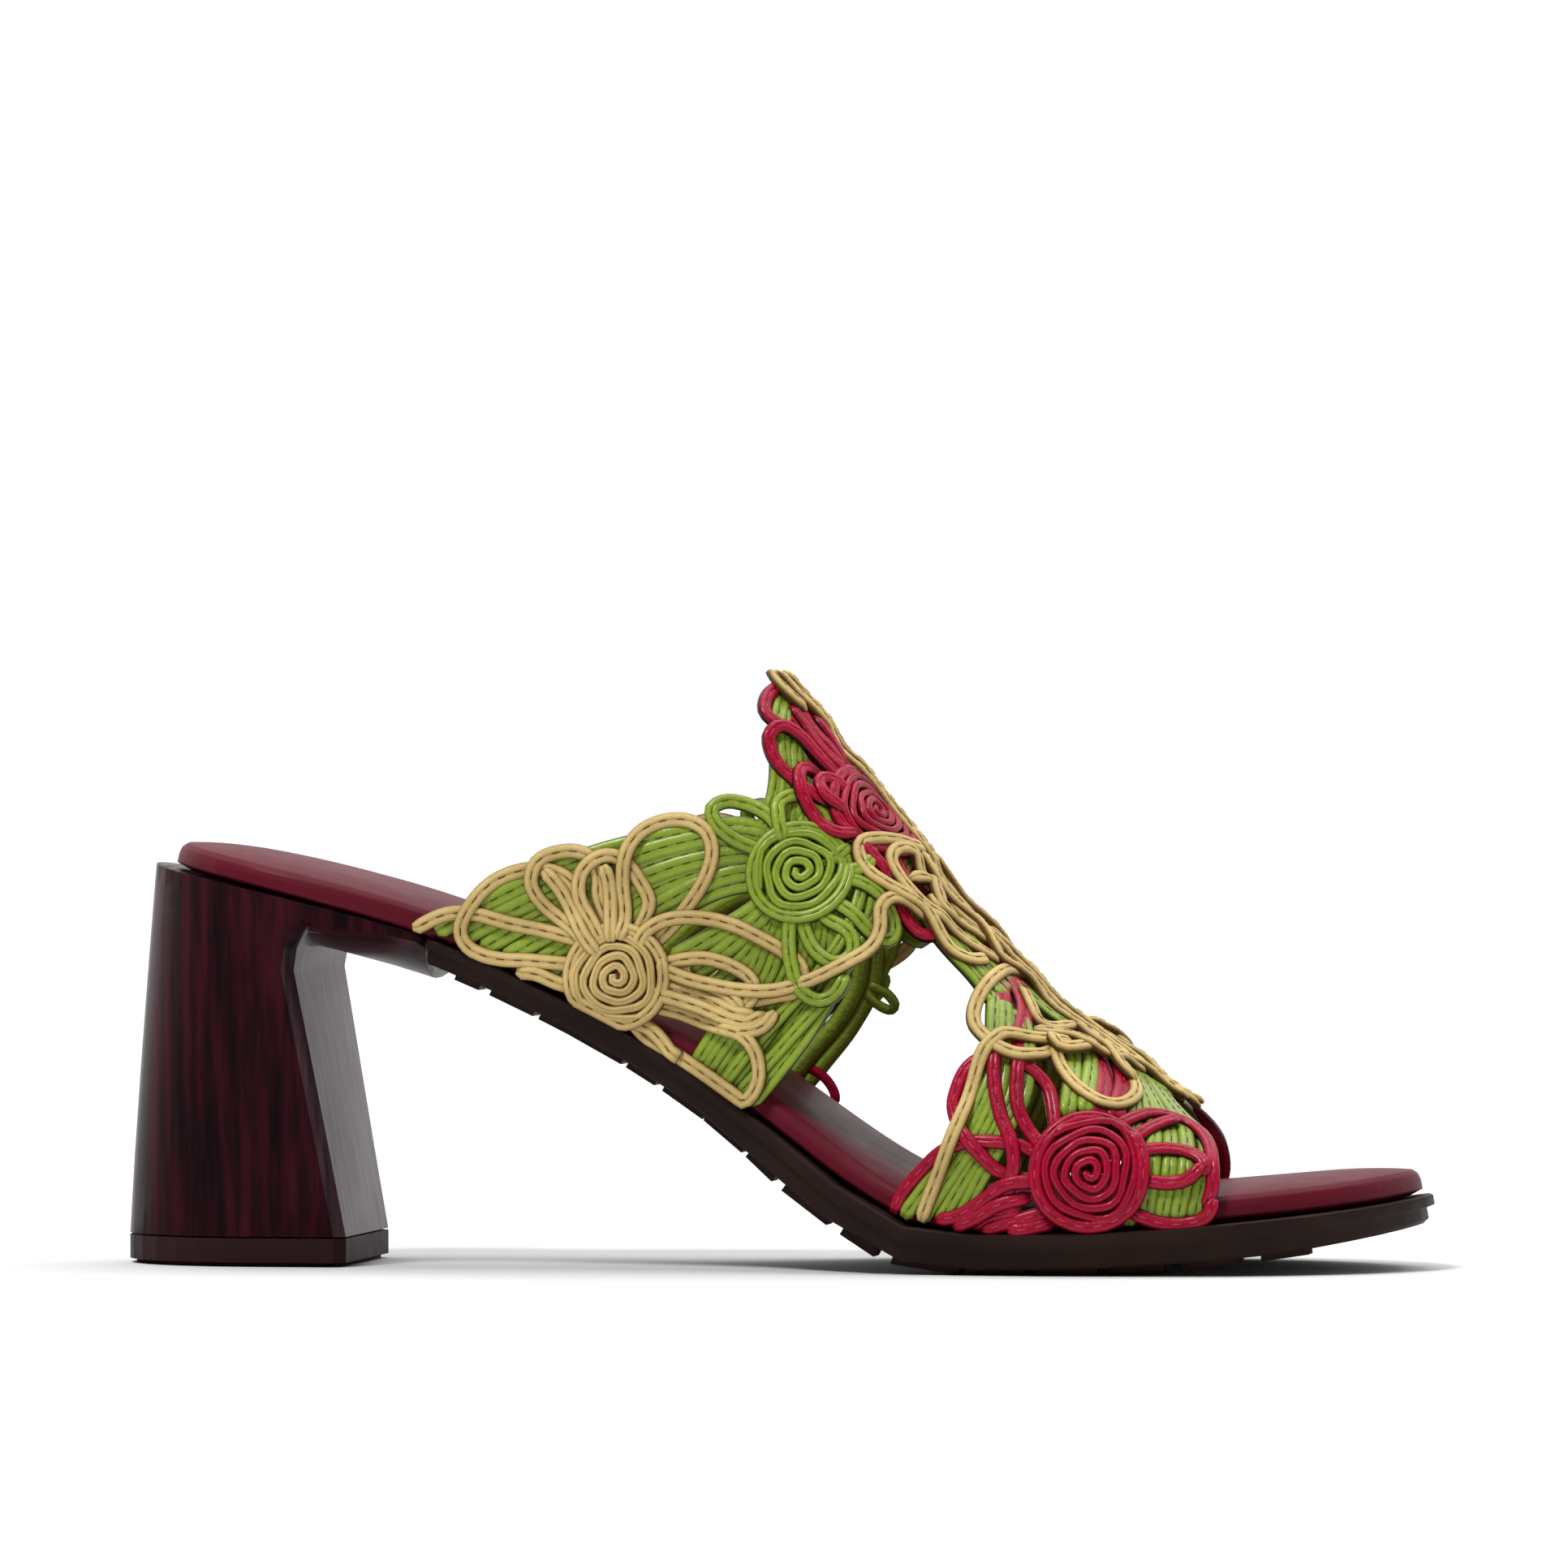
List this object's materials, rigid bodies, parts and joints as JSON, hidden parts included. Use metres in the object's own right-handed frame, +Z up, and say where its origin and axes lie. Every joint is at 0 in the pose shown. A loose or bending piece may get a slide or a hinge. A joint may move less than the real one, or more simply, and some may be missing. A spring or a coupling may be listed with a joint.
{
  "type": "block heel slide sandal",
  "caption": "Open-toed, open-heeled right slide sandal on a tall block heel, with a lace-like upper of coiled and stitched leather cord over the instep and forefoot",
  "frame": {"origin": "on the floor under the middle of the whole shoe's bounding box", "axes": "+X towards the toe, +Y towards the medial (inner) side of this right shoe, +Z up"},
  "size_m": [0.2404, 0.0842, 0.1093],
  "materials": {
    "footbed_leather": "smooth satin",
    "outsole_rubber": "matte",
    "heel_wood": "gloss lacquer with dark streaks",
    "lift_rubber": "satin",
    "upper_leather": "matte cream cord with green and pink flowers"
  },
  "bodies": {
    "root": {"footbed": "footbed_leather", "outsole": "outsole_rubber", "heel_block": "heel_wood", "heel_lift": "lift_rubber", "upper": "upper_leather"}
  },
  "joints": []
}
